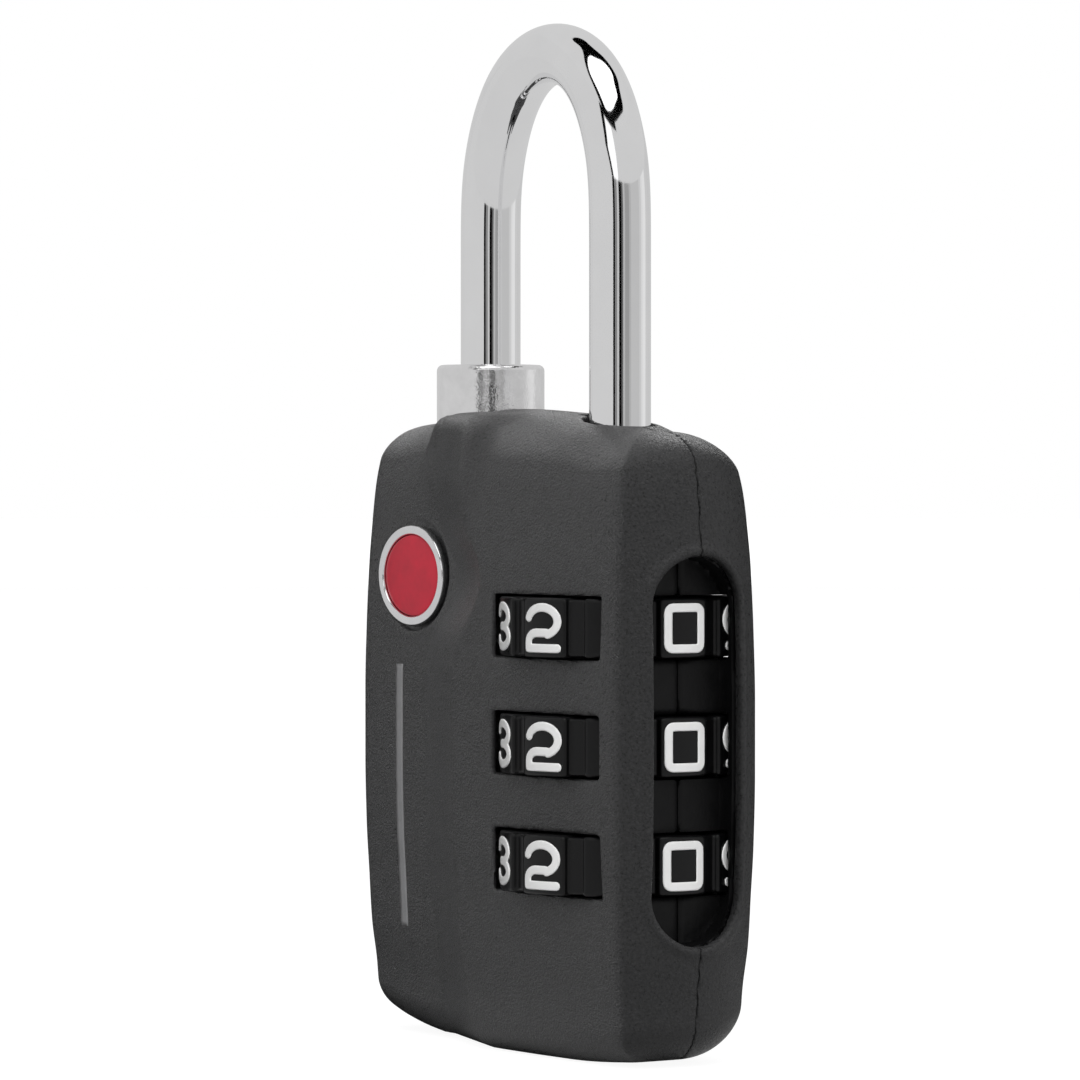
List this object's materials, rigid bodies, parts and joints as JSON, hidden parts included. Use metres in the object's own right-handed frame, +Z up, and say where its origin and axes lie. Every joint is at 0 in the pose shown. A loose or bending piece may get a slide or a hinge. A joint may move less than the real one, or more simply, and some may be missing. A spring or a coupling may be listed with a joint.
{
  "type": "combination padlock",
  "caption": "Small travel padlock with rotating number dials beside a round-bar shackle, a moulded two-part case and a key cylinder that also releases the shackle.",
  "frame": {"origin": "middle of the padlock's footprint, on the underside of the case", "axes": "+Z up along the shackle legs, +X towards the dial side, -Y towards the front face"},
  "size_m": [0.0311, 0.0136, 0.0588],
  "materials": {
    "shell": "matte, fine grain, dark grey",
    "core": "satin black on a zinc casting",
    "dial": "semi-gloss black with white moulded numbers",
    "numeral": "matte white",
    "shackle": "polished plating",
    "collar": "polished plating",
    "badge_bezel": "bright",
    "badge_inlay": "gloss red enamel",
    "print": "silver-grey printed line",
    "key_plug": "nickel plated, brushed face",
    "brass_parts": "turned",
    "steel_parts": "zinc plated",
    "spring_wire": "bright drawn wire"
  },
  "bodies": {
    "case": {"front_shell": "shell", "rear_shell": "shell", "core_front": "core", "core_rear": "core", "badge_bezel": "badge_bezel", "badge_inlay": "badge_inlay", "toe_collar": "collar", "spring_cap": "steel_parts", "shackle_spring": "spring_wire", "sleeve_spring": "core", "dial_detent_spring": "spring_wire", "cylinder_housing": "brass_parts", "body_rivet_1": "steel_parts", "body_rivet_2": "steel_parts", "body_rivet_3": "steel_parts", "body_rivet_4": "steel_parts"},
    "shackle": {"shackle": "shackle"},
    "dial_1": {"dial_1": "dial", "sleeve_1": "core"},
    "dial_2": {"dial_2": "dial", "sleeve_2": "core"},
    "dial_3": {"dial_3": "dial", "sleeve_3": "core"},
    "key_plug": {"key_plug": "key_plug", "plug_clip": "steel_parts", "plug_cam": "steel_parts"},
    "release_bolt": {"release_bolt": "steel_parts"},
    "wafer_1": {"wafer_1": "brass_parts"},
    "wafer_2": {"wafer_2": "brass_parts"},
    "wafer_3": {"wafer_3": "brass_parts"},
    "wafer_4": {"wafer_4": "brass_parts"}
  },
  "joints": [
    {"name": "shackle_lift", "type": "slide", "parent": "case", "child": "shackle", "axis": [0, 0, 1], "range_m": [0, 0.0066], "deforming": ["shackle_spring"]},
    {"name": "dial_1_turn", "type": "hinge", "parent": "case", "child": "dial_1", "pos_m": [0.00734, 0, 0.0244], "axis": [0, 0, 1], "continuous": true},
    {"name": "dial_2_turn", "type": "hinge", "parent": "case", "child": "dial_2", "pos_m": [0.00734, 0, 0.0178], "axis": [0, 0, 1], "continuous": true},
    {"name": "dial_3_turn", "type": "hinge", "parent": "case", "child": "dial_3", "pos_m": [0.00734, 0, 0.0112], "axis": [0, 0, 1], "continuous": true},
    {"name": "key_turn", "type": "hinge", "parent": "case", "child": "key_plug", "pos_m": [-0.00626, 0, 0.0122], "axis": [0, 0, 1], "range_deg": [0, 90]},
    {"name": "bolt_slide", "type": "slide", "parent": "case", "child": "release_bolt", "axis": [1, 0, 0], "range_m": [-0.0016, 0]},
    {"name": "wafer_1_slide", "type": "slide", "parent": "key_plug", "child": "wafer_1", "axis": [0, 1, 0], "range_m": [-0.00045, 0.00045]},
    {"name": "wafer_2_slide", "type": "slide", "parent": "key_plug", "child": "wafer_2", "axis": [0, 1, 0], "range_m": [-0.00045, 0.00045]},
    {"name": "wafer_3_slide", "type": "slide", "parent": "key_plug", "child": "wafer_3", "axis": [0, 1, 0], "range_m": [-0.00045, 0.00045]},
    {"name": "wafer_4_slide", "type": "slide", "parent": "key_plug", "child": "wafer_4", "axis": [0, 1, 0], "range_m": [-0.00045, 0.00045]}
  ],
  "couplings": [
    {"joint": "key_turn", "follows": "bolt_slide", "rad_per_m": -981.74}
  ]
}
